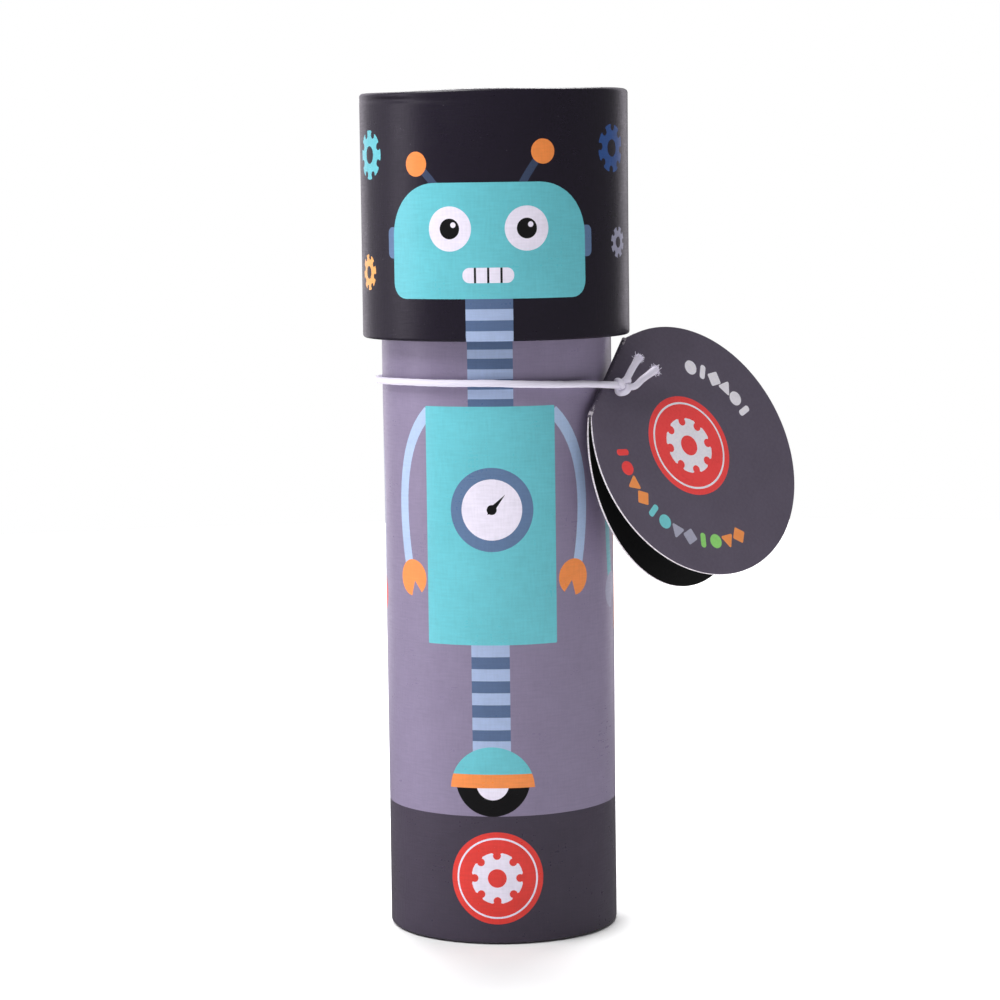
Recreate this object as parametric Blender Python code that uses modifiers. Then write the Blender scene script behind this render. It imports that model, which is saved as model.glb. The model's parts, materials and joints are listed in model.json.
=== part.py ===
"""A card kaleidoscope: a body tube with three mirror strips, a turning cap that holds the beads, and a hang tag.

Everything is in metres, +Z up. The toy stands on its eyepiece end, with the origin at the centre of that end and
the front of its print towards -Y. Angles round the tube are measured from the front, towards +X.
"""

from math import asin, cos, degrees, pi, radians, sin

import bmesh
import bpy
from mathutils import Matrix, Vector

MM = 0.001
GAP = 0.3 * MM  # play between neighbouring pieces
TURN_STEPS = 72

# Driving dimensions of the two tubes.
HEIGHT = 170 * MM
BODY_RADIUS = 23.4 * MM
CAP_RADIUS = 27.2 * MM
CAP_BOTTOM = 121.1 * MM
BODY_TOP = 150 * MM
BODY_WALL = 1.8 * MM
CAP_WALL = 1.6 * MM
PAPER = 0.3 * MM

# Card rings that hold the cap on the body and let it turn.
COLLAR_RADIUS = 24.7 * MM
COLLAR_LOW = 123.5 * MM
COLLAR_HIGH = 133.5 * MM
STOP_RADIUS = 24.6 * MM
STOP_HEIGHT = 4 * MM

# Eyepiece end.
EYEPIECE_LOW = 1.8 * MM
EYEPIECE_THICKNESS = 2 * MM
PEEPHOLE_RADIUS = 4.5 * MM
PEEP_WINDOW_RADIUS = 9 * MM
WINDOW_THICKNESS = 0.8 * MM

# Mirrors and what holds them.
MIRROR_INRADIUS = 8.45 * MM
MIRROR_THICKNESS = 1 * MM
MIRROR_WIDTH = 28.8 * MM
MIRROR_LOW = 6 * MM
MIRROR_HIGH = 146 * MM
SLEEVE_WALL = 0.5 * MM
PAD_LOW = 70 * MM
PAD_HIGH = 82 * MM
PAD_HALF_ANGLE = 52
PAD_FLAT_HALF = 15.5 * MM
RING_WIDTH = 1.8 * MM

# Bead chamber in the cap.
FLOOR_THICKNESS = 1 * MM
SPACER_INNER = 22.9 * MM
CHAMBER_HEIGHT = 10 * MM
DIFFUSER_THICKNESS = 1.2 * MM
END_RING_INNER = 21.5 * MM
END_RING_THICKNESS = 2.2 * MM

# Beads: kind, half size, distance from the axis, angle and colour.
BEADS = (
    ("round", 2.6 * MM, 17.2 * MM, 8, "bead_red"),
    ("gem", 3.2 * MM, 16.8 * MM, 52, "bead_blue"),
    ("star", 3.9 * MM, 16.6 * MM, 98, "bead_yellow"),
    ("tube", 2.4 * MM, 17.8 * MM, 140, "bead_green"),
    ("round", 2.9 * MM, 16.9 * MM, 186, "bead_orange"),
    ("gem", 3.0 * MM, 17.3 * MM, 231, "bead_pink"),
    ("star", 3.7 * MM, 16.9 * MM, 275, "bead_clear"),
    ("tube", 2.5 * MM, 17.6 * MM, 320, "bead_red"),
    ("round", 2.3 * MM, 7.6 * MM, 30, "bead_green"),
    ("gem", 3.1 * MM, 7.9 * MM, 122, "bead_yellow"),
    ("tube", 2.3 * MM, 8.2 * MM, 208, "bead_blue"),
    ("star", 3.6 * MM, 8.1 * MM, 300, "bead_pink"),
)
BEAD_HOLE = 0.4  # of the bead's radius
STAR_WAIST = 0.5  # of the star's radius
STAR_THICKNESS = 2 * MM

# Hang tag: a folded round card, tied on by an elastic through a hole near its fold.
TAG_HOLE = Vector((25.2, -9.0, 109.9)) * MM
TAG_FACES = Vector((0.639, -0.676, 0.368))
FOLD_RUNS = Vector((-0.315, -0.666, -0.676))
TAG_RADIUS = 26.6 * MM
FOLD_OFFSET = 24.3 * MM  # from the round's centre
HOLE_OFFSET = 20.8 * MM  # from the round's centre
HOLE_SHIFT = 1 * MM  # along the fold
TAG_HOLE_RADIUS = 2.3 * MM
LEAF_THICKNESS = 0.4 * MM
LEAF_GAP = 0.4 * MM
LEAF_OPENING = 14.1

# Elastic: its route round the tube as angle in degrees, distance from the axis and height in millimetres.
CORD_DIAMETER = 1.4 * MM
CORD_STEP = 3.4 * MM
CORD_ROUTE = (
    (61.2, 26.95, 111.5),
    (56.1, 25.75, 111.7),
    (48.5, 24.75, 111.95),
    (38.0, 24.4, 112.1),
    (0.0, 24.4, 112.8),
    (-45.0, 24.4, 112.8),
    (-90.0, 24.4, 112.4),
    (-135.0, 24.4, 111.8),
    (-180.0, 24.4, 111.1),
    (-225.0, 24.4, 110.4),
    (-258.0, 24.4, 109.8),
    (-268.0, 24.5, 109.6),
    (-278.5, 24.7, 109.4),
    (-286.8, 25.65, 109.6),
    (-289.8, 26.9, 109.95),
)
KNOT_SIZE = Vector((4.2, 3.4, 3.0)) * MM
KNOT_PLACE = Vector((1.1, -0.9, 2.1)) * MM  # from the hole, in the tag's own directions
CORD_END_DIAMETER = 1.7 * MM
CORD_ENDS = (
    ((-1.4, -0.9, 2.5), (-4.2, -0.9, 2.9), (-7.9, -0.6, 3.0)),
    ((-0.7, 1.2, 2.5), (-4.0, 2.7, 2.9), (-8.7, 4.6, 3.0)),
)

COLOURS = {
    "cap_paper": ((0.035, 0.028, 0.040, 1), 0.45),
    "body_paper": ((0.21, 0.18, 0.25, 1), 0.45),
    "card": ((0.45, 0.40, 0.33, 1), 0.85),
    "black_card": ((0.02, 0.02, 0.02, 1), 0.8),
    "eyepiece_plastic": ((0.02, 0.02, 0.022, 1), 0.5),
    "mirror": ((0.85, 0.86, 0.88, 1), 0.03),
    "clear_plastic": ((0.9, 0.92, 0.93, 1), 0.05),
    "frosted_plastic": ((0.85, 0.85, 0.86, 1), 0.6),
    "tag_card": ((0.07, 0.062, 0.080, 1), 0.5),
    "elastic": ((0.62, 0.58, 0.74, 1), 0.8),
    "bead_red": ((0.70, 0.03, 0.04, 1), 0.15),
    "bead_blue": ((0.03, 0.12, 0.60, 1), 0.15),
    "bead_yellow": ((0.85, 0.60, 0.03, 1), 0.15),
    "bead_green": ((0.04, 0.42, 0.12, 1), 0.15),
    "bead_orange": ((0.85, 0.25, 0.02, 1), 0.15),
    "bead_pink": ((0.80, 0.12, 0.38, 1), 0.15),
    "bead_clear": ((0.85, 0.88, 0.92, 1), 0.08),
}


def clear_scene():
    for thing in list(bpy.data.objects):
        bpy.data.objects.remove(thing, do_unlink=True)


def new_collection(name):
    made = bpy.data.collections.new(name)
    bpy.context.scene.collection.children.link(made)
    return made


def material(name):
    """The named colour as a Principled material, made once."""
    if name in bpy.data.materials:
        return bpy.data.materials[name]
    colour, roughness = COLOURS[name]
    made = bpy.data.materials.new(name)
    made.use_nodes = True
    shader = made.node_tree.nodes["Principled BSDF"]
    shader.inputs["Base Color"].default_value = colour
    shader.inputs["Roughness"].default_value = roughness
    shader.inputs["Metallic"].default_value = 1.0 if name == "mirror" else 0.0
    made.diffuse_color = colour
    return made


def add_object(name, data, colour, parent=None):
    """An object of this mesh or curve in the part's collection, with its own material."""
    made = bpy.data.objects.new(name, data)
    data.materials.append(material(colour))
    PARTS.objects.link(made)
    made.parent = parent
    return made


def add_axis(name, matrix, parent=None):
    """An empty on a joint's axis, which the pieces that move about it are parented to."""
    made = bpy.data.objects.new(name, None)
    made.empty_display_size = 10 * MM
    PARTS.objects.link(made)
    made.parent = parent
    made.matrix_local = matrix
    return made


def turned(name, profile, closed, colour, parent=None, steps=TURN_STEPS):
    """A solid of revolution about Z. The profile's (radius, height) points run down its outer side."""
    mesh = bpy.data.meshes.new(name)
    points = [(radius, 0, height) for radius, height in profile]
    edges = [(i, i + 1) for i in range(len(points) - 1)]
    if closed:
        edges.append((len(points) - 1, 0))
    mesh.from_pydata(points, edges, [])
    made = add_object(name, mesh, colour, parent)
    screw = made.modifiers.new("turn", "SCREW")
    screw.axis = "Z"
    screw.steps = steps
    screw.render_steps = steps
    screw.use_merge_vertices = True
    screw.merge_threshold = 0.00001
    screw.use_smooth_shade = False
    return made


def ring(name, inner, outer, low, high, colour, parent=None, steps=TURN_STEPS):
    profile = ((outer, high), (outer, low), (inner, low), (inner, high))
    return turned(name, profile, True, colour, parent, steps)


def disc(name, radius, low, high, colour, parent=None):
    profile = ((0, high), (radius, high), (radius, low), (0, low))
    return turned(name, profile, False, colour, parent)


def flat_curve(name, outlines, thickness):
    """A flat plate as a 2D curve: the first outline is its edge and the others are holes."""
    curve = bpy.data.curves.new(name, "CURVE")
    curve.dimensions = "2D"
    curve.fill_mode = "BOTH"
    curve.extrude = thickness / 2
    for outline in outlines:
        spline = curve.splines.new("POLY")
        spline.points.add(len(outline) - 1)
        for point, (x, y) in zip(spline.points, outline):
            point.co = (x, y, 0, 1)
        spline.use_cyclic_u = True
    return curve


def arc(radius, start, end, steps, centre=(0, 0)):
    """Points on an arc, with its angles in degrees from +X."""
    angles = [radians(start + (end - start) * i / steps) for i in range(steps + 1)]
    return [(centre[0] + radius * cos(a), centre[1] + radius * sin(a)) for a in angles]


def tube_along(name, points, diameter, colour, parent=None):
    curve = bpy.data.curves.new(name, "CURVE")
    curve.dimensions = "3D"
    curve.bevel_depth = diameter / 2
    curve.bevel_resolution = 2
    curve.use_fill_caps = True
    spline = curve.splines.new("POLY")
    spline.points.add(len(points) - 1)
    for point, place in zip(spline.points, points):
        point.co = (*place, 1)
    return add_object(name, curve, colour, parent)


def smooth_route(route, step):
    """Evenly spaced points on a smooth curve through the route's own points."""
    knots = [Vector(p) for p in route]
    knots = [2 * knots[0] - knots[1], *knots, 2 * knots[-1] - knots[-2]]
    fine = []
    for before, start, end, after in zip(knots, knots[1:], knots[2:], knots[3:]):
        lengths = [(b - a).length for a, b in ((before, start), (start, end), (end, after))]
        leave = ((end - start) / lengths[1] * lengths[0] + (start - before) / lengths[0] * lengths[1])
        arrive = ((after - end) / lengths[2] * lengths[1] + (end - start) / lengths[1] * lengths[2])
        leave *= lengths[1] / (lengths[0] + lengths[1])
        arrive *= lengths[1] / (lengths[1] + lengths[2])
        for i in range(24):
            t = i / 24
            point = start * (2 * t**3 - 3 * t**2 + 1) + leave * (t**3 - 2 * t**2 + t)
            fine.append(point + end * (3 * t**2 - 2 * t**3) + arrive * (t**3 - t**2))
    fine.append(knots[-2])
    total = sum((b - a).length for a, b in zip(fine, fine[1:]))
    spacing = total / round(total / step)
    points = [fine[0]]
    walked = 0.0
    for a, b in zip(fine, fine[1:]):
        length = (b - a).length
        while walked + length >= spacing * len(points) and length > 0:
            points.append(a.lerp(b, (spacing * len(points) - walked) / length))
        walked += length
    if (points[-1] - fine[-1]).length > spacing / 2:
        points.append(fine[-1])
    else:
        points[-1] = fine[-1]
    return points


def round_the_tube(angle, distance, height):
    """A place given by its angle from the front, its distance from the axis and its height."""
    return Vector((distance * sin(radians(angle)), -distance * cos(radians(angle)), height))


def cord_points():
    """The elastic's route, first filled in round the tube and then spaced evenly."""
    polar = [Vector(p) for p in CORD_ROUTE]
    filled = []
    for a, b in zip(polar, polar[1:]):
        parts = max(1, round(abs(b.x - a.x) / 15))
        filled += [a.lerp(b, i / parts) for i in range(parts)]
    filled.append(polar[-1])
    return smooth_route([round_the_tube(p.x, p.y * MM, p.z * MM) for p in filled], CORD_STEP)


def make_body():
    """The card tube, its printed paper, and the ring that keeps the cap on."""
    tube_outer = BODY_RADIUS - PAPER - GAP
    ring("body_tube", tube_outer - BODY_WALL, tube_outer, 0, BODY_TOP, "card")
    wrap_top = COLLAR_HIGH
    ring("body_wrap", BODY_RADIUS - PAPER, BODY_RADIUS, GAP, wrap_top, "body_paper")
    stop_low = COLLAR_HIGH + GAP
    ring("stop_ring", tube_outer + GAP, STOP_RADIUS, stop_low, stop_low + STOP_HEIGHT, "card")


def make_eyepiece():
    radius = BODY_RADIUS - PAPER - 2 * GAP - BODY_WALL
    top = EYEPIECE_LOW + EYEPIECE_THICKNESS
    ring("eyepiece_disc", PEEPHOLE_RADIUS, radius, EYEPIECE_LOW, top, "eyepiece_plastic")
    low = top + GAP
    disc("eyepiece_window", PEEP_WINDOW_RADIUS, low, low + WINDOW_THICKNESS, "clear_plastic")


def triangle(inradius):
    """An equilateral triangle with one side at +Y."""
    return arc(2 * inradius, 30, 270, 2)


def make_mirrors():
    """Three mirror strips in a triangle, in a folded card sleeve that three card pads centre in the tube."""
    height = MIRROR_HIGH - MIRROR_LOW
    middle = MIRROR_LOW + height / 2
    for i in range(3):
        turn = Matrix.Rotation(radians(120 * i), 4, "Z")
        shift = Matrix.Translation((0, MIRROR_INRADIUS + MIRROR_THICKNESS / 2, middle))
        mesh = bpy.data.meshes.new(f"mirror_strip_{i + 1}")
        form = bmesh.new()
        bmesh.ops.create_cube(form, size=1)
        bmesh.ops.scale(form, vec=(MIRROR_WIDTH, MIRROR_THICKNESS, height), verts=form.verts)
        form.to_mesh(mesh)
        form.free()
        strip = add_object(f"mirror_strip_{i + 1}", mesh, "mirror")
        strip.matrix_world = turn @ shift
    inside = MIRROR_INRADIUS + MIRROR_THICKNESS + GAP
    outside = inside + SLEEVE_WALL
    sleeve = flat_curve("mirror_sleeve", (triangle(outside), triangle(inside)), height)
    add_object("mirror_sleeve", sleeve, "black_card").location.z = middle
    make_pads(outside + GAP)


def make_pads(flat):
    """Card pads between the sleeve's flat sides and the round tube."""
    radius = BODY_RADIUS - PAPER - 2 * GAP - BODY_WALL
    edge = arc(radius, 90 - PAD_HALF_ANGLE, 90 + PAD_HALF_ANGLE, 12)
    outline = [*edge, (-PAD_FLAT_HALF, flat), (PAD_FLAT_HALF, flat)]
    for i in range(3):
        name = f"packing_pad_{i + 1}"
        pad = add_object(name, flat_curve(name, (outline,), PAD_HIGH - PAD_LOW), "card")
        turn = Matrix.Rotation(radians(120 * i), 4, "Z")
        pad.matrix_world = turn @ Matrix.Translation((0, 0, (PAD_LOW + PAD_HIGH) / 2))


def make_mirror_end():
    """The window over the mirrors' far end, and the ring that holds it level with the tube's end."""
    radius = BODY_RADIUS - PAPER - 2 * GAP - BODY_WALL
    low = MIRROR_HIGH + 3 * GAP
    disc("mirror_end_window", radius, low, low + FLOOR_THICKNESS, "clear_plastic")
    ring_low = low + FLOOR_THICKNESS + GAP
    ring("window_ring", radius - RING_WIDTH, radius, ring_low, BODY_TOP, "card")


def make_cap():
    """The turning cap: card tube, printed paper, the collar it runs on, and the bead chamber's walls."""
    axis = add_axis("cap_turn_axis", Matrix.Translation((0, 0, 0)))
    tube_outer = CAP_RADIUS - PAPER - GAP
    ring("cap_tube", tube_outer - CAP_WALL, tube_outer, CAP_BOTTOM, HEIGHT, "card", axis)
    ring("cap_wrap", CAP_RADIUS - PAPER, CAP_RADIUS, CAP_BOTTOM + GAP, HEIGHT - GAP, "cap_paper", axis)
    ring("cap_collar", BODY_RADIUS + GAP, COLLAR_RADIUS, COLLAR_LOW, COLLAR_HIGH, "card", axis)
    floor_low = BODY_TOP + GAP
    floor_high = floor_low + FLOOR_THICKNESS
    disc("chamber_floor", COLLAR_RADIUS, floor_low, floor_high, "clear_plastic", axis)
    spacer_high = floor_high + CHAMBER_HEIGHT - GAP
    ring("chamber_spacer", SPACER_INNER, COLLAR_RADIUS, floor_high + GAP, spacer_high, "card", axis)
    diffuser_low = spacer_high + GAP
    diffuser_high = diffuser_low + DIFFUSER_THICKNESS
    disc("diffuser_window", COLLAR_RADIUS, diffuser_low, diffuser_high, "frosted_plastic", axis)
    end_low = diffuser_high + GAP
    ring("cap_end_ring", END_RING_INNER, COLLAR_RADIUS, end_low, end_low + END_RING_THICKNESS, "card", axis)
    make_beads(floor_high + GAP, axis)


def round_bead(name, radius):
    mesh = bpy.data.meshes.new(name)
    form = bmesh.new()
    bmesh.ops.create_uvsphere(form, u_segments=16, v_segments=10, radius=radius)
    form.to_mesh(mesh)
    form.free()
    mesh.shade_smooth()
    return mesh, radius


def gem_bead(name, radius):
    mesh = bpy.data.meshes.new(name)
    form = bmesh.new()
    bmesh.ops.create_icosphere(form, subdivisions=1, radius=radius)
    form.to_mesh(mesh)
    form.free()
    return mesh, -min(v.co.z for v in mesh.vertices)


def star_bead(name, radius):
    tips = [(radius if i % 2 == 0 else radius * STAR_WAIST, i * pi / 5) for i in range(10)]
    outline = [(r * cos(a), r * sin(a)) for r, a in tips]
    return flat_curve(name, (outline,), STAR_THICKNESS), STAR_THICKNESS / 2


def tube_bead(name, radius, colour, axis):
    """A short pierced bead that stands on its end, as tall as it is wide."""
    return ring(name, radius * BEAD_HOLE, radius, -radius, radius, colour, axis, steps=16)


def make_beads(floor, cap_axis):
    """The loose beads, lying on the chamber's floor."""
    axis = add_axis("bead_tumble_axis", Matrix.Translation((0, 0, 0)), cap_axis)
    for number, (kind, size, distance, angle, colour) in enumerate(BEADS, start=1):
        name = f"bead_{kind}_{number}"
        if kind == "tube":
            bead = tube_bead(name, size, colour, axis)
            half_height = size
        else:
            data, half_height = {"round": round_bead, "gem": gem_bead, "star": star_bead}[kind](name, size)
            bead = add_object(name, data, colour, axis)
        bead.location = round_the_tube(angle, distance, floor + half_height)


def leaf_outline(to_hole):
    """The leaf's edge: a round cut off straight at the fold, seen from the hole or, with to_hole 0, the fold."""
    corner = degrees(asin(FOLD_OFFSET / TAG_RADIUS))
    centre = (-HOLE_SHIFT, FOLD_OFFSET - to_hole)
    return arc(TAG_RADIUS, -corner, 180 + corner, 72, centre)


def make_leaf(name, to_hole, axis, offset):
    """One round leaf of the tag, with its punched hole."""
    hole_centre = (0, FOLD_OFFSET - HOLE_OFFSET - to_hole)
    hole = arc(TAG_HOLE_RADIUS, 0, 345, 23, hole_centre)
    leaf = add_object(name, flat_curve(name, (leaf_outline(to_hole), hole), LEAF_THICKNESS), "tag_card", axis)
    leaf.location.z = offset


def make_tag():
    """The folded tag: the front leaf swings about the hole, and the back leaf opens about the fold."""
    normal = TAG_FACES.normalized()
    along = FOLD_RUNS.normalized()
    across = normal.cross(along).normalized()
    along = across.cross(normal)
    frame = Matrix((along, across, normal)).transposed().to_4x4()
    swing = add_axis("tag_swing_axis", Matrix.Translation(TAG_HOLE) @ frame)
    to_hole = FOLD_OFFSET - HOLE_OFFSET
    make_leaf("tag_front_leaf", to_hole, swing, 0)
    depth = (LEAF_THICKNESS + LEAF_GAP) / 2
    fold = Matrix.Translation((0, -to_hole, -depth)) @ Matrix.Rotation(radians(-LEAF_OPENING), 4, "X")
    opening = add_axis("tag_open_axis", fold, swing)
    make_leaf("tag_back_leaf", 0, opening, -depth)
    make_knot(swing)


def make_knot(swing):
    """The knot in front of the tag and the elastic's two cut ends."""
    mesh = bpy.data.meshes.new("tag_knot")
    form = bmesh.new()
    bmesh.ops.create_uvsphere(form, u_segments=16, v_segments=10, radius=0.5)
    bmesh.ops.scale(form, vec=KNOT_SIZE, verts=form.verts)
    form.to_mesh(mesh)
    form.free()
    mesh.shade_smooth()
    add_object("tag_knot", mesh, "elastic", swing).location = KNOT_PLACE
    for number, points in enumerate(CORD_ENDS, start=1):
        places = [Vector(p) * MM for p in points]
        tube_along(f"tag_cord_end_{number}", places, CORD_END_DIAMETER, "elastic", swing)


clear_scene()
PARTS = new_collection("kaleidoscope")
make_body()
make_eyepiece()
make_mirrors()
make_mirror_end()
make_cap()
make_tag()
tube_along("tag_elastic", cord_points(), CORD_DIAMETER, "elastic")
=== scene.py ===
"""The looks of the card kaleidoscope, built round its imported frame.

The two printed papers and the tag's leaves are flat drawings in millimetres, cut along the edges of their
printed shapes and then rolled or placed. Lengths are in millimetres until a mesh is made, and in metres from
there on.
"""

import json
import random
from math import acos, asin, cos, degrees, hypot, pi, radians, sin, tau

import bmesh
import bpy
import numpy as np
from mathutils import Matrix, Quaternion, Vector
from mathutils.geometry import delaunay_2d_cdt


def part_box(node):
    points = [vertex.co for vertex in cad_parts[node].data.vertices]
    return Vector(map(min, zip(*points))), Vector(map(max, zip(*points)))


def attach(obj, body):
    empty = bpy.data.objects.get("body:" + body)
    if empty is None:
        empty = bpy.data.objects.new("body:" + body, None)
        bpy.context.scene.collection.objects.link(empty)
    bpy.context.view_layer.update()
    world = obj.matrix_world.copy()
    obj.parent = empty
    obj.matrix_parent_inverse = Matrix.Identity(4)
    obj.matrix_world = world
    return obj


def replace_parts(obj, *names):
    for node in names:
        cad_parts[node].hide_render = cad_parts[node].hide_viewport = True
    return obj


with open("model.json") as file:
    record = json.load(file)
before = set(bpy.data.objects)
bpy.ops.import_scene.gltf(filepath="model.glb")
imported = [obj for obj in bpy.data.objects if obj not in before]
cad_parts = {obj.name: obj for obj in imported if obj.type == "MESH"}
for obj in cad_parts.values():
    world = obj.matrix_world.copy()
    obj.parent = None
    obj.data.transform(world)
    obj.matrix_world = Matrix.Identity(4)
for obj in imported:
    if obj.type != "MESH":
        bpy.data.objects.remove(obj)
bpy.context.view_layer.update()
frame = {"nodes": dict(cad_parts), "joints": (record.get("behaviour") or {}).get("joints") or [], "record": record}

MM = 0.001
JOINTS = {joint["name"]: joint for joint in frame["joints"]}


def extent(node):
    """A CAD node's box in millimetres: its radius about Z, its lowest and its highest height."""
    low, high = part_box(node)
    return high.x / MM, low.z / MM, high.z / MM


# ---------------------------------------------------------------- camera

CAMERA_PLACE = Vector((0.0364, -0.6327, 0.1532))
CAMERA_TURN = 3.27
CAMERA_PITCH = 5.95
CAMERA_ROLL = -0.785
LENS = 111.6


def make_camera():
    data = bpy.data.cameras.new("camera")
    data.lens = LENS
    data.clip_start = 0.01
    camera = bpy.data.objects.new("camera", data)
    bpy.context.scene.collection.objects.link(camera)
    camera.location = CAMERA_PLACE
    turn = Matrix.Rotation(radians(CAMERA_TURN), 3, "Z")
    pitch = Matrix.Rotation(radians(90 - CAMERA_PITCH), 3, "X")
    roll = Matrix.Rotation(radians(CAMERA_ROLL), 3, "Z")
    camera.rotation_euler = (turn @ pitch @ roll).to_euler()
    bpy.context.scene.camera = camera


# ---------------------------------------------------------------- materials


def linear(colour):
    """An sRGB colour of 0 to 255 as linear light."""
    parts = [c / 255 for c in colour]
    return (*[p / 12.92 if p <= 0.04045 else ((p + 0.055) / 1.055) ** 2.4 for p in parts], 1)


class Look:
    """A Principled material that grows a node at a time. A socket given as a value becomes a link."""

    def __init__(self, name, **values):
        self.made = bpy.data.materials.new(name)
        self.made.use_nodes = True
        self.tree = self.made.node_tree
        self.shader = self.tree.nodes["Principled BSDF"]
        self.fill(self.shader, values)

    def fill(self, node, values):
        for key, value in values.items():
            socket = node.inputs[key.replace("_", " ") if isinstance(key, str) else key]
            if isinstance(value, bpy.types.NodeSocket):
                self.tree.links.new(value, socket)
            else:
                socket.default_value = value

    def add(self, kind, values, **settings):
        node = self.tree.nodes.new("ShaderNode" + kind)
        for key, value in settings.items():
            setattr(node, key, value)
        self.fill(node, values)
        return node

    def uv(self, scale):
        """The piece's own map, in millimetres, stretched by scale."""
        source = self.add("UVMap", {}, uv_map="map").outputs["UV"]
        return self.add("Mapping", {"Vector": source, "Scale": scale}).outputs["Vector"]

    def solid(self, scale):
        """Places in the piece, stretched by scale (per metre)."""
        source = self.add("TexCoord", {}).outputs["Object"]
        return self.add("Mapping", {"Vector": source, "Scale": scale}).outputs["Vector"]

    def noise(self, vector, scale=1.0, detail=2.0, roughness=0.5, distortion=0.0):
        values = {"Vector": vector, "Scale": scale, "Detail": detail, "Roughness": roughness}
        return self.add("TexNoise", {**values, "Distortion": distortion}).outputs["Fac"]

    def math(self, operation, a, b=0.0):
        return self.add("Math", {0: a, 1: b}, operation=operation).outputs[0]

    def span(self, value, low, high, to_low, to_high):
        """value from low..high mapped to to_low..to_high, clamped."""
        values = {"Value": value, "From Min": low, "From Max": high, "To Min": to_low, "To Max": to_high}
        return self.add("MapRange", values).outputs["Result"]

    def mix(self, factor, a, b):
        node = self.add("Mix", {0: factor, 6: a, 7: b}, data_type="RGBA")
        return node.outputs[2]

    def shade(self, colour, value):
        """A colour made lighter or darker by a factor."""
        return self.add("HueSaturation", {"Color": colour, "Value": value}).outputs["Color"]

    def bump(self, height, distance, strength):
        values = {"Height": height, "Distance": distance * MM, "Strength": strength}
        return self.add("Bump", values).outputs["Normal"]

    def finish(self, colour, roughness, normal):
        self.fill(self.shader, {"Base Color": colour, "Roughness": roughness, "Normal": normal})
        return self.made


INKS = {
    "lilac": (139, 128, 156),
    "dusk": (70, 62, 78),
    "night": (29, 22, 38),
    "teal": (104, 196, 208),
    "teal_deep": (84, 174, 184),
    "sky": (176, 198, 232),
    "steel": (96, 122, 160),
    "stripe_light": (166, 184, 220),
    "stripe_dark": (86, 108, 146),
    "antenna": (58, 70, 98),
    "white": (240, 233, 250),
    "black": (14, 12, 16),
    "orange": (250, 146, 74),
    "amber": (246, 176, 96),
    "red": (234, 58, 50),
    "blue": (46, 84, 150),
    "mist": (156, 156, 180),
}
TAG_INKS = {
    "slate": (97, 89, 106),
    "coal": (9, 7, 12),
    "white": (250, 246, 255),
    "red": (255, 76, 76),
    "orange": (255, 158, 88),
    "teal": (124, 214, 220),
    "mist": (176, 176, 196),
    "green": (150, 222, 120),
}


def linen_ink(name, colour):
    """Satin print on paper with a fine linen emboss, a faint mottle and a few specks."""
    look = Look(name)
    threads = look.noise(look.uv((0.30, 2.3, 1)), distortion=0.2)
    crossing = look.noise(look.uv((2.3, 0.30, 1)), distortion=0.2)
    weave = look.math("ADD", threads, look.math("MULTIPLY", crossing, 0.8))
    mottle = look.noise(look.uv((0.09, 0.09, 1)), detail=5, roughness=0.6)
    speck = look.span(look.noise(look.uv((1.6, 1.6, 1)), detail=3), 0.72, 0.8, 0, 0.16)
    tone = look.math("ADD", look.span(weave, 0.6, 1.2, 0.93, 1.05), look.span(mottle, 0.3, 0.7, -0.04, 0.04))
    rough = look.math("ADD", look.span(weave, 0.6, 1.2, 0.36, 0.27), look.span(mottle, 0.3, 0.7, -0.03, 0.04))
    dusty = look.mix(speck, look.shade(linear(colour), tone), linear((214, 208, 222)))
    return look.finish(dusty, rough, look.bump(weave, 0.04, 0.75))


def tag_ink(name, colour):
    """Matt print on smooth white-cored card."""
    look = Look(name)
    grain = look.noise(look.uv((1.5, 1.5, 1)), detail=6, roughness=0.65)
    mottle = look.span(look.noise(look.uv((0.12, 0.12, 1)), detail=4), 0.3, 0.7, -0.05, 0.05)
    tone = look.math("ADD", look.span(grain, 0.35, 0.65, 0.96, 1.05), mottle)
    rough = look.span(grain, 0.3, 0.7, 0.62, 0.46)
    return look.finish(look.shade(linear(colour), tone), rough, look.bump(grain, 0.02, 0.7))


def card_edge():
    """The white core that shows where card is cut, a little dirty and fibrous."""
    look = Look("card_edge")
    fibre = look.noise(look.uv((0.8, 6, 1)), detail=4, roughness=0.6)
    dirt = look.span(fibre, 0.45, 0.7, 0, 1)
    colour = look.mix(dirt, linear((240, 234, 240)), linear((178, 168, 178)))
    return look.finish(colour, look.span(fibre, 0.3, 0.7, 0.95, 0.75), look.bump(fibre, 0.05, 0.8))


def scuffed_fold():
    """The tag's fold: dark print, cracked to the white core along the crease, most of all at its ends."""
    look = Look("scuffed_fold")
    wear = look.noise(look.uv((0.9, 2.2, 1)), detail=5, roughness=0.7)
    run = look.add("SeparateXYZ", {0: look.uv((1, 1, 1))}).outputs[0]
    from_middle = look.math("ABSOLUTE", look.math("ADD", run, HOLE_SHIFT))
    corner = look.span(from_middle, 7.5, 10.5, 0, 0.18)
    chips = look.span(look.math("ADD", wear, corner), 0.60, 0.66, 0, 1)
    colour = look.mix(chips, linear(TAG_INKS["slate"]), linear((214, 206, 214)))
    return look.finish(colour, look.span(wear, 0.3, 0.7, 0.5, 0.85), look.bump(wear, 0.12, 0.9))


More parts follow.
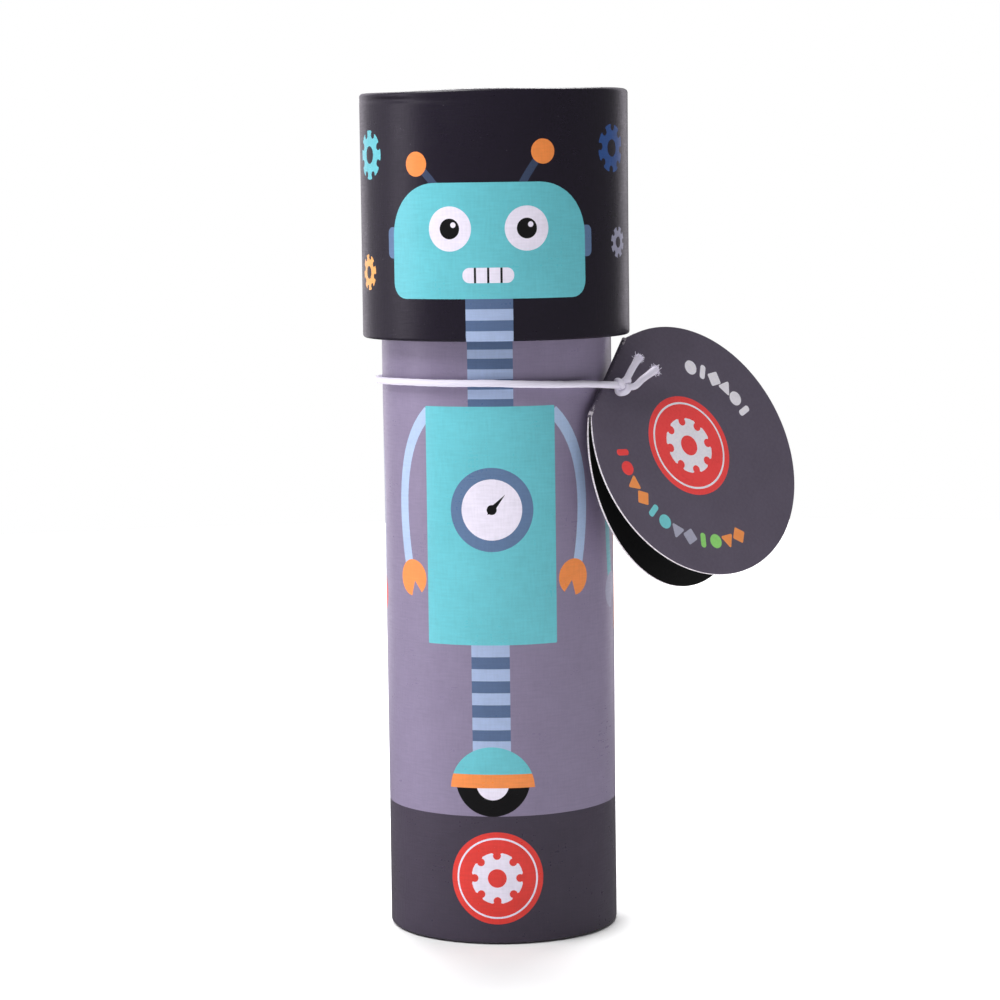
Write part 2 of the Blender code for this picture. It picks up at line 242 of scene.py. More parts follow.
def bare_card():
    """Wound grey board: long fibres, dark flecks and cloudy patches."""
    look = Look("card_bare")
    fibre = look.noise(look.solid((900, 900, 260)), detail=6, roughness=0.7)
    fleck = look.span(look.noise(look.solid((1500, 1500, 1500))), 0.66, 0.74, 0, 0.5)
    cloud = look.span(look.noise(look.solid((70, 70, 70)), detail=4), 0.3, 0.7, 0, 1)
    colour = look.mix(cloud, (0.36, 0.31, 0.25, 1), (0.50, 0.45, 0.37, 1))
    colour = look.mix(fleck, colour, (0.16, 0.13, 0.10, 1))
    colour = look.shade(colour, look.span(fibre, 0.3, 0.7, 0.85, 1.12))
    return look.finish(colour, look.span(fibre, 0.3, 0.7, 0.92, 0.75), look.bump(fibre, 0.08, 0.8))


def black_card():
    look = Look("card_black")
    fibre = look.noise(look.solid((1200, 1200, 400)), detail=5, roughness=0.65)
    colour = look.mix(fibre, (0.012, 0.012, 0.013, 1), (0.035, 0.034, 0.036, 1))
    return look.finish(colour, look.span(fibre, 0.3, 0.7, 0.9, 0.7), look.bump(fibre, 0.05, 0.7))


def moulded_plastic():
    """The eyepiece's black plastic, with a fine moulded grain and faint handling marks."""
    look = Look("eyepiece_black")
    grain = look.noise(look.solid((5200, 5200, 5200)), detail=3, roughness=0.6)
    smear = look.noise(look.solid((60, 60, 60)), detail=4, distortion=1.2)
    colour = look.shade((0.022, 0.022, 0.024, 1), look.span(smear, 0.3, 0.7, 0.88, 1.12))
    return look.finish(colour, look.span(smear, 0.3, 0.7, 0.34, 0.52), look.bump(grain, 0.03, 0.6))


def mirror_coat():
    look = Look("mirror_coat", Metallic=1.0)
    smear = look.noise(look.solid((90, 90, 25)), detail=5, distortion=0.8)
    colour = look.mix(smear, (0.84, 0.85, 0.87, 1), (0.90, 0.91, 0.92, 1))
    return look.finish(colour, look.span(smear, 0.4, 0.75, 0.015, 0.09), look.bump(smear, 0.01, 0.2))


def clear_sheet(name, colour, low_rough, high_rough, through, grain):
    """A clear or frosted plastic sheet with fine scratches."""
    look = Look(name, IOR=1.49, Transmission_Weight=through)
    scratch = look.noise(look.solid((260, 2600, 900)), detail=4, roughness=0.7, distortion=0.6)
    frost = look.noise(look.solid((3500, 3500, 3500)))
    tinted = look.shade((*colour, 1), look.span(frost, 0.3, 0.7, 0.97, 1.0))
    rough = look.span(scratch, 0.55, 0.75, low_rough, high_rough)
    return look.finish(tinted, rough, look.bump(frost, 0.02, grain))


def bead_plastic(name, colour):
    """Cast bead plastic with a swirl of denser colour inside."""
    look = Look(name, IOR=1.5, Transmission_Weight=0.72, Coat_Weight=0.3, Coat_Roughness=0.06)
    swirl = look.noise(look.solid((420, 420, 420)), detail=3, distortion=2.5)
    deep = tuple(c * 0.55 for c in colour)
    swirled = look.mix(look.span(swirl, 0.35, 0.65, 0, 1), (*colour, 1), (*deep, 1))
    return look.finish(swirled, look.span(swirl, 0.3, 0.7, 0.06, 0.16), look.bump(swirl, 0.05, 0.25))


BRAID_TURNS = 6  # yarns each way round the elastic
BRAID_PITCH = 5.2  # radians of braid to the millimetre


def braided(name, colour):
    """A covered elastic: two sets of fine yarns that cross, with painted shade in the grooves between them,
    softened by fuzz. It reads a map named "map", which sweep's tubes don't have, so for now the yarns and the fuzz
    don't show on them."""
    look = Look(name, Sheen_Weight=0.35, Sheen_Roughness=0.5)
    split = look.add("SeparateXYZ", {0: look.uv((1, 1, 1))})
    run = look.math("MULTIPLY", split.outputs[0], BRAID_PITCH)
    turn = look.math("MULTIPLY", split.outputs[1], tau * BRAID_TURNS)
    one = look.math("SINE", look.math("ADD", run, turn))
    other = look.math("SINE", look.math("SUBTRACT", run, turn))
    yarn = look.math("MAXIMUM", one, other)
    fuzz = look.noise(look.uv((5, 24, 1)), detail=4, roughness=0.7)
    height = look.math("ADD", look.math("MULTIPLY", yarn, 0.6), fuzz)
    # tone: painted shade, darker where the yarns dip into grooves, with a random mottle from the fuzz
    tone = look.math("ADD", look.span(yarn, -0.4, 1, 0.86, 1.02), look.span(fuzz, 0.3, 0.7, -0.05, 0.05))
    rough = look.span(fuzz, 0.3, 0.7, 0.75, 0.95)
    return look.finish(look.shade(linear(colour), tone), rough, look.bump(height, 0.045, 0.9))


# ---------------------------------------------------------------- flat shapes, in millimetres


def arc(x, y, radius, start, end, steps):
    """Points on an arc, with its angles in degrees from +X."""
    angles = [radians(start + (end - start) * i / steps) for i in range(steps + 1)]
    return [(x + radius * cos(a), y + radius * sin(a)) for a in angles]


def circle(x, y, radius, steps=56):
    return arc(x, y, radius, 0, 360 * (1 - 1 / steps), steps - 1)


def fillet(points, radii, steps=6, closed=True):
    """The outline with each corner rounded. radii is one radius or one for each point."""
    count = len(points)
    radii = radii if isinstance(radii, (list, tuple)) else [radii] * count
    rounded = []
    for i, radius in enumerate(radii):
        corner = Vector(points[i])
        if radius == 0 or (not closed and i in (0, count - 1)):
            rounded.append(tuple(corner))
            continue
        back = (Vector(points[i - 1]) - corner).normalized()
        ahead = (Vector(points[(i + 1) % count]) - corner).normalized()
        half = acos(max(-1, min(1, back.dot(ahead)))) / 2
        centre = corner + (back + ahead).normalized() * (radius / sin(half))
        reach = radius * cos(half) / sin(half)
        first = corner + back * reach - centre
        last = corner + ahead * reach - centre
        swing = first.angle_signed(last)
        parts = max(steps, round(radius * 2))
        for k in range(parts + 1):
            turned = first.copy()
            turned.rotate(Matrix.Rotation(-swing * k / parts, 2))
            rounded.append(tuple(centre + turned))
    return rounded


def block(left, right, low, high, radii=0):
    """A rectangle; radii run from the lower left corner, anticlockwise."""
    return fillet([(left, low), (right, low), (right, high), (left, high)], radii)


def band(points, width):
    """A stripe of even width along a line of points."""
    places = [Vector(p) for p in points]
    steps = [(b - a).normalized() for a, b in zip(places, places[1:])]
    headings = [steps[0], *[(a + b).normalized() for a, b in zip(steps, steps[1:])], steps[-1]]
    sides = [Vector((-h.y, h.x)) * width / 2 for h in headings]
    left = [tuple(p + s) for p, s in zip(places, sides)]
    right = [tuple(p - s) for p, s in zip(places, sides)]
    return left + right[::-1]


def bow(start, middle, end, steps=14):
    """A smooth bend from start to end that leans towards middle."""
    a, b, c = Vector(start), Vector(middle), Vector(end)
    runs = [i / steps for i in range(steps + 1)]
    return [tuple(a * (1 - t) ** 2 + b * 2 * t * (1 - t) + c * t * t) for t in runs]


def cog(x, y, radius, teeth=8, turn=0.0):
    """A toothed wheel's outline: flat tips with round valleys between them."""
    pitch = 360 / teeth
    valley = radius * 0.155
    outline = []
    for i in range(teeth):
        middle = turn + pitch * i
        outline += arc(x, y, radius, middle - pitch * 0.24, middle + pitch * 0.24, 2)
        between = radians(middle + pitch / 2)
        foot = (x + radius * 0.875 * cos(between), y + radius * 0.875 * sin(between))
        outline += arc(*foot, valley, degrees(between) - 60, degrees(between) - 300, 8)
    return outline


def moved(shapes, x, y=0.0, turn=0.0):
    """The printed shapes, turned about the origin and then shifted."""
    c, s = cos(radians(turn)), sin(radians(turn))
    return [(ink, [(x + c * u - s * v, y + s * u + c * v) for u, v in outline]) for ink, outline in shapes]


def wheel(x, y, radius, ink, ground, turn=0.0):
    """A cog with a hole that shows the ground."""
    return [(ink, cog(x, y, radius, turn=turn)), (ground, circle(x, y, radius * 0.36, 32))]


# ---------------------------------------------------------------- meshes


def inside(points, outline):
    """Which of the points lie inside a closed outline."""
    found = np.zeros(len(points), bool)
    x, y = points[:, 0], points[:, 1]
    corners = np.asarray(outline)
    for (ax, ay), (bx, by) in zip(corners, np.roll(corners, -1, axis=0)):
        if ay != by:
            found ^= ((ay > y) != (by > y)) & (x < (bx - ax) * (y - ay) / (by - ay) + ax)
    return found


def divided(outline, step):
    """The outline with its long sides split."""
    points = []
    for (ax, ay), (bx, by) in zip(outline, [*outline[1:], outline[0]]):
        parts = max(1, round(hypot(bx - ax, by - ay) / step))
        points += [(ax + (bx - ax) * i / parts, ay + (by - ay) * i / parts) for i in range(parts)]
    return points


def add_piece(name, mesh, body):
    """A finished piece that rides on a body."""
    made = bpy.data.objects.new(name, mesh)
    bpy.context.scene.collection.objects.link(made)
    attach(made, body)
    return made


SNAP = 0.006  # points of a drawing nearer than this are one
OUTLINE_STEP = 0.8  # about how long the sides of a drawn outline may be


def in_box(points, outline, margin=0.0):
    """The numbers of the points in an outline's box."""
    low, high = np.min(outline, axis=0) - margin, np.max(outline, axis=0) + margin
    return np.nonzero(np.all((points >= low) & (points <= high), axis=1))[0]


def cut_flat(outline, holes, grid, art):
    """Points and triangles that fill the outline, leave its holes and follow every printed shape's edge."""
    flat, edges = [], []
    for loop in (outline, *holes, *[shape for _, shape in art]):
        points = divided(loop, OUTLINE_STEP)
        first, count = len(flat), len(points)
        flat += points
        edges += [(first + i, first + (i + 1) % count) for i in range(count)]
    cut = delaunay_2d_cdt([Vector(p) for p in flat + grid], edges, [], 0, SNAP, False)
    flat, faces = np.array([tuple(p) for p in cut[0]]), np.array(cut[2])
    middles = flat[faces].mean(axis=1)
    keep = inside(middles, outline)
    for hole in holes:
        keep &= ~inside(middles, hole)
    faces = faces[keep]
    used = np.unique(faces)
    renumber = np.full(len(flat), -1)
    renumber[used] = np.arange(len(used))
    return flat[used], renumber[faces]


def printed_sheet(name, outline, holes, grid, art, place, thickness, grounds, looks):
    """A sheet with its print cut in. place maps flat points to places and normals. grounds are the inks of
    the front's ground, the back and the edge. art is a list of (ink, outline), the last on top. A hole's edge
    has the front's ground, as where a punch has drawn the print in."""
    flat, faces = cut_flat(outline, holes, grid, art)
    names = list(dict.fromkeys([*grounds, *[ink for ink, _ in art]]))
    ground, back, edge = (names.index(ink) for ink in grounds)
    middles = flat[faces].mean(axis=1)
    inks = np.full(len(faces), ground)
    for ink, shape in art:
        near = in_box(middles, shape)
        inks[near[inside(middles[near], shape)]] = names.index(ink)
    sides = np.concatenate([faces[:, [0, 1]], faces[:, [1, 2]], faces[:, [2, 0]]])
    reverse = {(b, a) for a, b in sides.tolist()}
    rim = np.array([(a, b) for a, b in sides.tolist() if (a, b) not in reverse])
    rim_inks = np.full(len(rim), edge)
    for hole in holes:
        rim_inks[in_box(flat[rim].mean(axis=1), hole, SNAP)] = ground

    points, normals = place(flat)
    count = len(flat)
    rim_faces = [(b, a, a + count, b + count) for a, b in rim.tolist()]
    mesh = bpy.data.meshes.new(name)
    both_sides = np.concatenate([points, points - normals * thickness]) * MM
    mesh.from_pydata(both_sides.tolist(), [], faces.tolist() + (faces[:, ::-1] + count).tolist() + rim_faces)
    mesh.polygons.foreach_set("material_index", [*inks.tolist(), *[back] * len(faces), *rim_inks.tolist()])
    for ink in names:
        mesh.materials.append(looks[ink])
    corners = np.zeros(len(mesh.loops), np.int32)
    mesh.loops.foreach_get("vertex_index", corners)
    layer = mesh.uv_layers.new(name="map")
    layer.data.foreach_set("uv", np.concatenate([flat, flat])[corners].ravel())
    around = np.concatenate([normals, -normals])[corners]
    face_normals = np.zeros(len(mesh.polygons) * 3, np.float32)
    mesh.polygon_normals.foreach_get("vector", face_normals)
    around[6 * len(faces):] = np.repeat(face_normals.reshape(-1, 3)[2 * len(faces):], 4, axis=0)
    mesh.shade_smooth()
    mesh.normals_split_custom_set(around.tolist())
    return mesh


def spin(form, profile, segments, closed=True):
    """A profile of (radius, height) turned about Z. An open profile starts and ends on the axis."""
    rows = []
    for radius, height in profile:
        angles = [tau * k / segments for k in range(segments if radius > 0 else 1)]
        rows.append([form.verts.new((radius * cos(a), radius * sin(a), height)) for a in angles])
    for row, after in zip(rows, [*rows[1:], rows[0]] if closed else rows[1:]):
        for k in range(segments):
            near, far = (row[k % len(row)], after[k % len(after)])
            next_near, next_far = (row[(k + 1) % len(row)], after[(k + 1) % len(after)])
            form.faces.new(list(dict.fromkeys((near, next_near, next_far, far))))


def turned(name, profile, look, segments=120, closed=True):
    """A solid of revolution from a profile in millimetres."""
    form = bmesh.new()
    spin(form, [(radius * MM, height * MM) for radius, height in profile], segments, closed)
    return finish_form(name, form, look, 35)


def rounded_end(ring, centre, heading):
    """Smaller and smaller rings that close a tube's end. A ring is its distance along it and its points."""
    distance, places = ring
    radius = (places[0] - centre).length
    rings = []
    for size in (0.92, 0.65, 0.25):
        tip = centre + heading * radius * (1 - size * size) ** 0.5 * 0.8
        rings.append((distance, [tip + (p - centre) * size for p in places]))
    return rings


def sweep(form, path, radius, sides, closed=False):
    """A round tube along a path in metres, with rounded ends. radius is a function of the distance."""
    layer = form.loops.layers.uv.verify()
    points = [Vector(p) for p in path]
    count = len(points)
    if closed:
        passed = [points[-1], *points, points[0]]
    else:
        passed = [points[0] * 2 - points[1], *points, points[-1] * 2 - points[-2]]
    headings = [(c - a).normalized() for a, c in zip(passed, passed[2:])]
    side = headings[0].orthogonal().normalized()
    frames = []
    for before, heading in zip([headings[0], *headings], headings):
        side = before.rotation_difference(heading) @ side
        side = (side - heading * side.dot(heading)).normalized()
        frames.append((side.copy(), heading.cross(side)))
    twist = 0.0
    if closed:
        final = headings[-1].rotation_difference(headings[0]) @ frames[-1][0]
        sense = 1 if final.cross(frames[0][0]).dot(headings[0]) > 0 else -1
        twist = final.angle(frames[0][0]) * sense
    distance = 0.0
    rings = []
    for i, (point, (across, up)) in enumerate(zip(points, frames)):
        if i:
            distance += (point - points[i - 1]).length
        r = radius(distance)
        angles = [twist * i / count + tau * k / sides for k in range(sides)]
        rings.append((distance, [point + (across * cos(a) + up * sin(a)) * r for a in angles]))
    if not closed:
        start = rounded_end(rings[0], points[0], -headings[0])
        rings = [*reversed(start), *rings, *rounded_end(rings[-1], points[-1], headings[-1])]
    made = [(d, [form.verts.new(p) for p in ring]) for d, ring in rings]
    pairs = list(zip(made, made[1:])) + ([(made[-1], made[0])] if closed else [])
    for (d1, row), (d2, after) in pairs:
        for k in range(sides):
            face = form.faces.new((row[k], row[(k + 1) % sides], after[(k + 1) % sides], after[k]))
            for corner, (d, turn) in zip(face.loops, ((d1, k), (d1, k + 1), (d2, k + 1), (d2, k))):
                corner[layer].uv = (d / MM, turn / sides)
    if not closed:
        form.faces.new(made[0][1])
        form.faces.new(made[-1][1])


def finish_form(name, form, look, smooth=60):
    """The form as a mesh of one material, smooth but for edges sharper than an angle in degrees."""
    bmesh.ops.recalc_face_normals(form, faces=form.faces)
    mesh = bpy.data.meshes.new(name)
    form.to_mesh(mesh)
    form.free()
    mesh.materials.append(look)
    mesh.shade_smooth()
    mesh.set_sharp_from_angle(angle=radians(smooth))
    return mesh


# ---------------------------------------------------------------- the elastic

CORD_DIAMETER = 1.4
CORD_ROUTE = (
    (61.2, 26.95, 111.5),
    (56.1, 25.75, 111.7),
    (48.5, 24.75, 111.95),
    (38.0, 24.4, 112.1),
    (0.0, 24.4, 112.8),
    (-45.0, 24.4, 112.8),
    (-90.0, 24.4, 112.4),
    (-135.0, 24.4, 111.8),
    (-180.0, 24.4, 111.1),
    (-225.0, 24.4, 110.4),
    (-258.0, 24.4, 109.8),
    (-268.0, 24.5, 109.6),
    (-278.5, 24.7, 109.4),
    (-286.8, 25.65, 109.6),
    (-289.8, 26.9, 109.95),
)


def round_the_tube(angle, distance, height):
    """A place given by its angle from the front, its distance from the axis and its height."""
    return Vector((distance * sin(radians(angle)), -distance * cos(radians(angle)), height))


def smooth_route(route, step):
    """Evenly spaced points on a smooth curve through the route's own points."""
    knots = [Vector(p) for p in route]
    knots = [2 * knots[0] - knots[1], *knots, 2 * knots[-1] - knots[-2]]
    parts = 24  # fine points from each knot to the next
    fine = []
    for before, start, end, after in zip(knots, knots[1:], knots[2:], knots[3:]):
        lengths = [(b - a).length for a, b in ((before, start), (start, end), (end, after))]
        leave = (end - start) / lengths[1] * lengths[0] + (start - before) / lengths[0] * lengths[1]
        arrive = (after - end) / lengths[2] * lengths[1] + (end - start) / lengths[1] * lengths[2]
        leave *= lengths[1] / (lengths[0] + lengths[1])
        arrive *= lengths[1] / (lengths[1] + lengths[2])
        for i in range(parts):
            t = i / parts
            point = start * (2 * t**3 - 3 * t**2 + 1) + leave * (t**3 - 2 * t**2 + t)
            fine.append(point + end * (3 * t**2 - 2 * t**3) + arrive * (t**3 - t**2))
    fine.append(knots[-2])
    total = sum((b - a).length for a, b in zip(fine, fine[1:]))
    spacing = total / round(total / step)
    points = [fine[0]]
    walked = 0.0
    for a, b in zip(fine, fine[1:]):
        length = (b - a).length
        while walked + length >= spacing * len(points) and length > 0:
            points.append(a.lerp(b, (spacing * len(points) - walked) / length))
        walked += length
    if (points[-1] - fine[-1]).length > spacing / 2:
        points.append(fine[-1])
    else:
        points[-1] = fine[-1]
    return points


def elastic_path(knot):
    """The elastic's route in metres, with its two ends carried on into the knot."""
    polar = [Vector(p) for p in CORD_ROUTE]
    filled = []
    for a, b in zip(polar, polar[1:]):
        parts = max(1, round(abs(b.x - a.x) / 15))
        filled += [a.lerp(b, i / parts) for i in range(parts)]
    filled.append(polar[-1])
    places = [round_the_tube(p.x, p.y * MM, p.z * MM) for p in filled]
    front = places[0].lerp(knot, 0.55)
    through = FRONT_LEAF.at(PUNCHED[0], PUNCHED[1], 0)
    return smooth_route([front, *places[:-1], through, through.lerp(knot, 0.22)], 0.5 * MM)


# ---------------------------------------------------------------- the tag's own directions


class LeafFrame:
    """A leaf's directions, read from its CAD solid: along the fold, across it, and out of the print."""

    def __init__(self, node, origin, fold, outward):
        co = np.array([v.co for v in frame["nodes"][node].data.vertices])
        normal = Vector(np.linalg.svd(co - co.mean(axis=0), full_matrices=False)[2][2])
        self.normal = normal if normal.dot(outward) > 0 else -normal
        self.along = (fold - self.normal * fold.dot(self.normal)).normalized()
        self.across = self.normal.cross(self.along)
        self.origin = origin

    def at(self, along, across, out):
        """A place from the leaf's origin, in millimetres."""
        return self.origin + (self.along * along + self.across * across + self.normal * out) * MM


SWING, OPEN = JOINTS["tag_swing"], JOINTS["tag_open"]
FOLD = Vector(SWING["axis"])
FRONT_LEAF = LeafFrame("tag_front_leaf", Vector(SWING["pos_m"]), FOLD, Vector((0, -1, 0)))
BACK_LEAF = LeafFrame("tag_back_leaf", Vector(OPEN["pos_m"]), -FOLD, Vector((0, 1, 0)))
TAG_RADIUS = 26.6
FOLD_OFFSET = 24.3  # from the round's centre
HOLE_OFFSET = 20.8  # from the round's centre
HOLE_SHIFT = 1.0  # of the hole along the fold, from the round's middle
HOLE_RADIUS = 2.3  # in the back leaf
PUNCHED = (-0.55, -0.1, 1.6)  # the front leaf's own hole: its centre along and across, and its radius
LEAF_THICKNESS = 0.4
LEAF_DEPTH = 0.4  # from the fold's axis to each leaf's middle
# The knot's middle and the two cut ends' routes lie along, across and out from the front leaf's origin.
KNOT_PLACE = (-0.1, -0.8, 1.9)
KNOT_STRAND = 0.70  # the radius of the knot's strand
CORD_ENDS = (
    ((-1.4, -0.9, 2.5), (-4.2, -0.9, 2.9), (-7.5, -0.6, 3.0)),
    ((-0.9, 0.9, 2.5), (-4.0, 2.2, 2.9), (-8.0, 3.9, 3.0)),
)


# ---------------------------------------------------------------- the print


def stripes(left, right, levels, inks):
    """Bars stacked up between the levels, in turn of the inks."""
    spans = zip(levels, levels[1:])
    return [(inks[i % len(inks)], block(left, right, low, high)) for i, (low, high) in enumerate(spans)]


def gripper(x, y, side, ink):
    """A hand: a disc with a mouth cut in it, open downwards and towards the chest."""
    outline = [*arc(0, 0, 3.7, -50, 264, 40), (0.5, -0.6)]
    return [(ink, [(x - side * u, y + v) for u, v in outline])]


# Each robot round the tube: the middle's angle in degrees, the colours of the chest, the hands, the dial and
# the arms, how far the hands hang below the first robot's, how far out they are, and the shape of the head.
ROBOTS = (
    (0, "teal", "orange", "steel", "sky", 0, 1.0, "box"),
    (120, "orange", "mist", "red", "teal_deep", 4.2, 0.93, "round"),
    (-120, "stripe_light", "red", "teal_deep", "mist", 4.6, 0.86, "tall"),
)


def robot_body(main, accent, dial, arm, hang, spread):
    """A robot of plain shapes below its head: neck, chest with a gauge, arms, leg and wheel."""
    light, dark = "stripe_light", "stripe_dark"
    neck = (108.1, 109.6, 111.5, 113.5, 115.5, 117.6, 119.4, 121.3, 123.2)
    leg = (38.8, 41.16, 43.39, 45.92, 48.44, 50.86, 53.28, 55.70, 58.12, 60.6)
    art = stripes(-4.6, 4.5, neck, (dark, light)) + stripes(-4.6, 3.1, leg, (light, dark))
    for side in (-1, 1):
        bends = ((13.0, 107.0), (23.4 * spread, 97.5), (18.9 * spread, 76.0 - hang))
        art.append((arm, band(bow(*[(side * x - 0.4, y) for x, y in bends]), 2.5)))
        art += gripper(side * 17.8 * spread - 0.4, 73.4 - hang, side, accent)
    art.append((main, block(-14.1, 13.1, 60.5, 108.1, 0.25)))
    art += gauge(-0.1, 87.6, dial)
    art.append(("black", arc(-0.65, 33.5, 7.65, 180, 360, 40)))
    art.append(("white", arc(-0.65, 32.5, 3.3, 180, 360, 24)))
    cover = (-0.75, 31.3, 8.65)
    art.append((main, arc(*cover, 2.3, 177.7, 48)))
    art.append((accent, arc(*cover, 2.3, 21, 6) + arc(*cover, 159, 177.7, 6)))
    return art


def gauge(x, y, rim):
    """A round dial with a needle."""
    art = [(rim, circle(x, y, 8.4, 96)), ("white", circle(x, y, 6.1, 80))]
    tip = (x + 4.1 * cos(radians(48)), y + 4.1 * sin(radians(48)))
    art.append(("black", [(x - 0.42, y + 0.42), tip, (x + 0.42, y - 0.42), (x - 0.9, y - 1.0)]))
    return [*art, ("black", circle(x, y, 1.0, 28))]


# Each head: its outline, how far out its ears and its eyes are, the eyes' radius, and each antenna's foot and
# ball.
HEADS = {
    "box": (block(-21.0, 20.8, 129.5, 152.2, [3.2, 3.2, 10.5, 10.5]), 19.5, 7.7, 4.4,
            (((-8.6, 149.0), (-14.8, 155.9)), ((5.4, 149.0), (11.3, 158.1)))),
    "round": (circle(0, 141.2, 12.6, 96), 11.4, 5.2, 3.4,
              (((-3.5, 151.0), (-6.4, 158.4)), ((3.5, 151.0), (6.4, 158.4)))),
    "tall": (fillet([(-11.0, 129.5), (11.0, 129.5), (12.6, 153.0), (-12.6, 153.0)], 3.0), 10.8, 5.2, 3.4,
             (((-5.5, 151.0), (-7.5, 159.0)), ((5.5, 151.0), (7.5, 159.0)))),
}


def robot_head(main, dial, shape):
    """A head of plain shapes: two ears, two eyes, a grille for a mouth and two antennae."""
    outline, ear, eye, eye_radius, antennae = HEADS[shape]
    light, dark = "stripe_light", "stripe_dark"
    levels = (119.1, 121.1, 123.2, 125.3, 127.5, 129.8)
    art = stripes(-4.5, 4.9, levels, (dark, light))
    for foot, ball in antennae:
        bow_out = 0.3 if ball[0] > 0 else -0.3
        bend = (foot[0] * 0.55 + ball[0] * 0.45 + bow_out, (foot[1] + ball[1]) / 2 + 1.2)
        art += [("antenna", band(bow(foot, bend, ball, 8), 1.5)), ("orange", circle(*ball, 2.45, 40))]
    for side in (-1, 1):
        art.append((dial, block(*sorted((side * ear, side * (ear + 3.1))), 137.4, 143.6, [1.2] * 4)))
    art.append((main, outline))
    for x in (0.15 - eye, 0.15 + eye):
        art.append(("white", circle(x, 143.2, eye_radius, 56)))
        art.append(("black", circle(x, 143.2, eye_radius * 0.46, 36)))
        art.append(("white", circle(x + 0.75, 143.95, 0.55, 18)))
    art.append(("white", block(-5.0, 5.2, 132.6, 135.6, [1.4] * 4)))
    for x in (-2.5, 0.1, 2.7):
        art.append(("black", block(x - 0.22, x + 0.22, 132.6, 135.6)))
    return art


def badge(x, y, radius):
    """A plain round badge with a white cog."""
    ring = [("red", circle(x, y, radius, 88)), ("white", circle(x, y, radius * 0.88, 80))]
    ring.append(("red", circle(x, y, radius * 0.84, 80)))
    return ring + wheel(x, y, radius * 0.56, "white", "red", 22.5)


def body_art(reach):
    """The body's print: a dark band that also turns in under the lower edge, the robots and a badge."""
    half = pi * reach
    art = [("dusk", block(-half - 0.01, half + 20, -10, 25.9))]
    for turn, main, accent, dial, arm, hang, spread, _ in ROBOTS:
        art += moved(robot_body(main, accent, dial, arm, hang, spread), radians(turn) * reach)
    return [*art, *badge(0, 13.3, 9.4)]


CAP_COGS = (
    (-29.9, 157.9, 4.9, "teal"),
    (-31.2, 134.5, 3.6, "amber"),
    (29.8, 158.6, 4.8, "blue"),
    (32.3, 139.9, 3.1, "mist"),
    (84.2, 158.2, 4.6, "red"),
    (-82.3, 141.0, 3.2, "sky"),
)


def cap_art(reach):
    """The cap's print: a head above each robot, and loose cogs between them."""
    art = []
    for turn, main, _, dial, *_, shape in ROBOTS:
        art += moved(robot_head(main, dial, shape), radians(turn) * reach)
    for number, (x, y, radius, ink) in enumerate(CAP_COGS):
        art += wheel(x, y, radius, ink, "night", 9 * number)
    return art


# ---------------------------------------------------------------- pieces

PAPER = 0.2
LAP = 7.0  # the paper's overlap at the back
LAP_RISE = 0.23
RIM_DEPTH = 7.0  # how far below the cap's rim its paper is still uneven
CREASE_ANGLE = -50  # degrees from the front
CREASE_DROP = 1.5  # below the cap's rim


def rolled(profile, reach, rim=None):
    """Where a flat paper goes when it is rolled round the tube: x runs round it and y along its profile. On
    the outside y is the height. The paper's far end lies over its start, and nothing about it is perfectly
    true. Where a rim's height is given, the paper turns over it unevenly, with a soft crease on one side."""
    corners = np.array(profile)
    steps = np.diff(corners, axis=0)
    lengths = np.concatenate([[0], np.cumsum(np.hypot(*steps.T))])
    outside = int(np.argmax(corners[:, 0] >= reach - 1e-6))
    lengths += corners[outside, 1] - lengths[outside]
    facing = np.stack([steps[:, 1], -steps[:, 0]], axis=1) / np.hypot(*steps.T)[:, None]
    facing = np.concatenate([facing[:1], facing[:-1] + facing[1:], facing[-1:]])
    facing /= np.hypot(*facing.T)[:, None]
    half = pi * reach

    def proud(x, y, wall):
        """How far the paper stands off its tube; wall is 1 on the tube's side and 0 on its ends."""
        climb = np.clip((x - half + 2.5) / 2.5, 0, 1)
        angle = x / reach
        wander = 0.035 * np.sin(3 * angle + 0.05 * y) + 0.02 * np.sin(8 * angle + 1 + 0.11 * y)
        lift = LAP_RISE * climb * climb * (3 - 2 * climb) * (0.15 + 0.85 * wall) + wander * wall
        if rim is not None:
            away = (angle - radians(CREASE_ANGLE)) / 0.42
            lift -= 0.30 * wall * np.exp(-away**2 - ((y - rim + CREASE_DROP + 0.25 * away) / 0.5) ** 2)
            lift += 0.10 * wall * np.exp(-away**2 - ((y - rim + 0.55) / 0.4) ** 2)
        return lift

    def place(flat):
        x, y = flat.T
        radius, height = (np.interp(y, lengths, corners[:, k]) for k in (0, 1))
        out, up = (np.interp(y, lengths, facing[:, k]) for k in (0, 1))
        size = np.hypot(out, up)
        out, up = out / size, up / size
        angle = x / reach
        zero = np.zeros_like(x)
        outward = np.stack([out * np.sin(angle), -out * np.cos(angle), up], axis=1)
        around = np.stack([np.cos(angle), np.sin(angle), zero], axis=1)
        if rim is not None:
            near = np.clip((height - rim + RIM_DEPTH) / RIM_DEPTH, 0, 1) ** 2
            height = height + near * (0.35 + 0.22 * np.sin(angle) + 0.09 * np.sin(5 * angle + 2))
        points = np.stack([radius * np.sin(angle), -radius * np.cos(angle), height], axis=1)
        wall = 1 - np.abs(up)
        nudge = 0.02
        slope_x = (proud(x + nudge, y, wall) - proud(x - nudge, y, wall)) / (2 * nudge)
        slope_y = (proud(x, y + nudge, wall) - proud(x, y - nudge, wall)) / (2 * nudge)
        normals = outward - slope_x[:, None] * around - slope_y[:, None] * np.cross(outward, around)
        normals /= np.linalg.norm(normals, axis=1)[:, None]
        return points + outward * proud(x, y, wall)[:, None], normals

    return place, lengths


